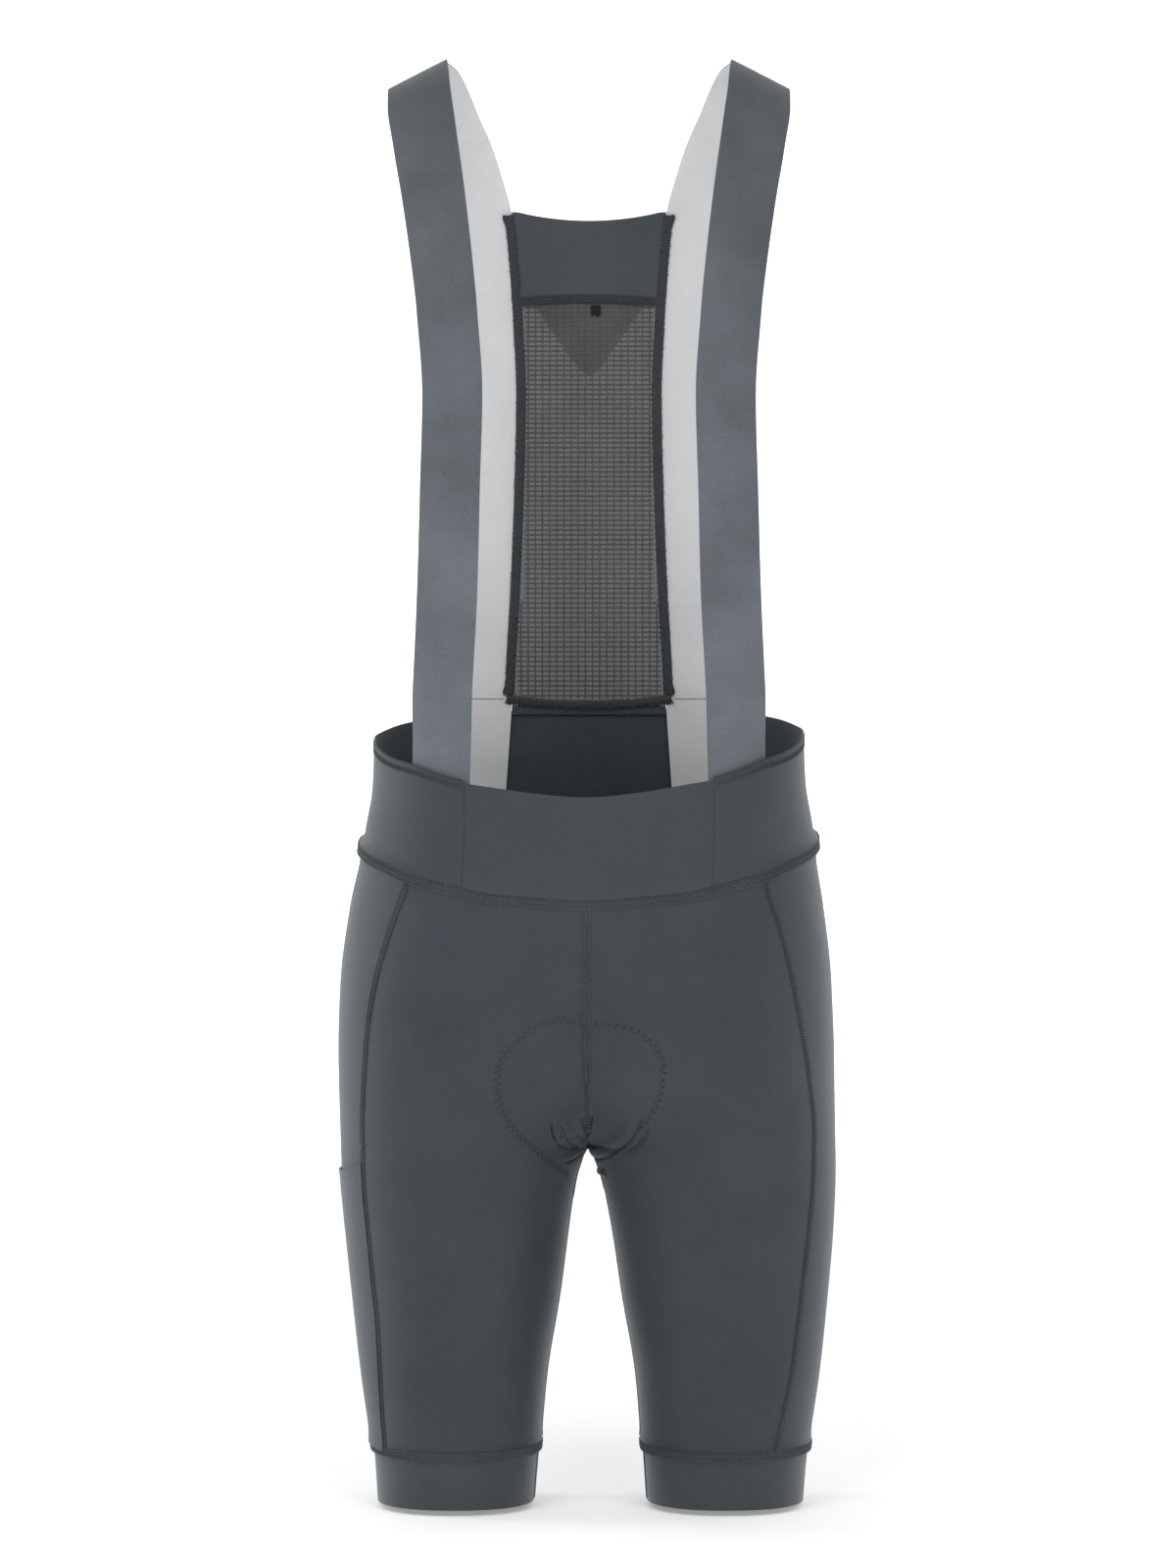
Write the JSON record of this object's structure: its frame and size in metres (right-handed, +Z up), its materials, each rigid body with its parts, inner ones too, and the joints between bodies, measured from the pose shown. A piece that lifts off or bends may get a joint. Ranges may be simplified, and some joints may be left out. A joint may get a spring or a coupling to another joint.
{
  "type": "cycling bib shorts",
  "caption": "Worn-shape cycling bib shorts with wide elastic shoulder straps, mesh back, high waistband, leg cuffs, side pocket and seat pad.",
  "frame": {"origin": "midway between the undersides of the two shoulder straps' crests, where a wearer's shoulders carry the shorts", "axes": "+X towards the wearer's left, +Y towards the back, +Z up"},
  "size_m": [0.338, 0.2385, 0.9792],
  "materials": {
    "lycra": "smooth matt warp-knit stretch fabric",
    "band": "smooth firm stretch fabric",
    "cuff": "smooth stretch gripper band",
    "elastic": "woven satin elastic, pale on its inner face",
    "net": "open grid net",
    "thread": "fuzzy overlocked thread",
    "padding": "brushed fabric over foam"
  },
  "bodies": {
    "root": {"waistband_front": "band", "waistband_back": "band", "leg_front_right": "lycra", "leg_front_left": "lycra", "leg_side_right": "lycra", "leg_side_left": "lycra", "leg_back_right": "lycra", "leg_back_left": "lycra", "leg_cuff_right": "cuff", "leg_cuff_left": "cuff", "side_pocket": "lycra", "seat_pad": "padding", "strap_right": "elastic", "strap_left": "elastic", "back_mesh": "net", "back_yoke": "lycra", "back_yoke_outer": "lycra", "loop_tab": "thread", "overlock_right": "thread", "overlock_left": "thread", "overlock_bottom": "thread"}
  },
  "joints": []
}
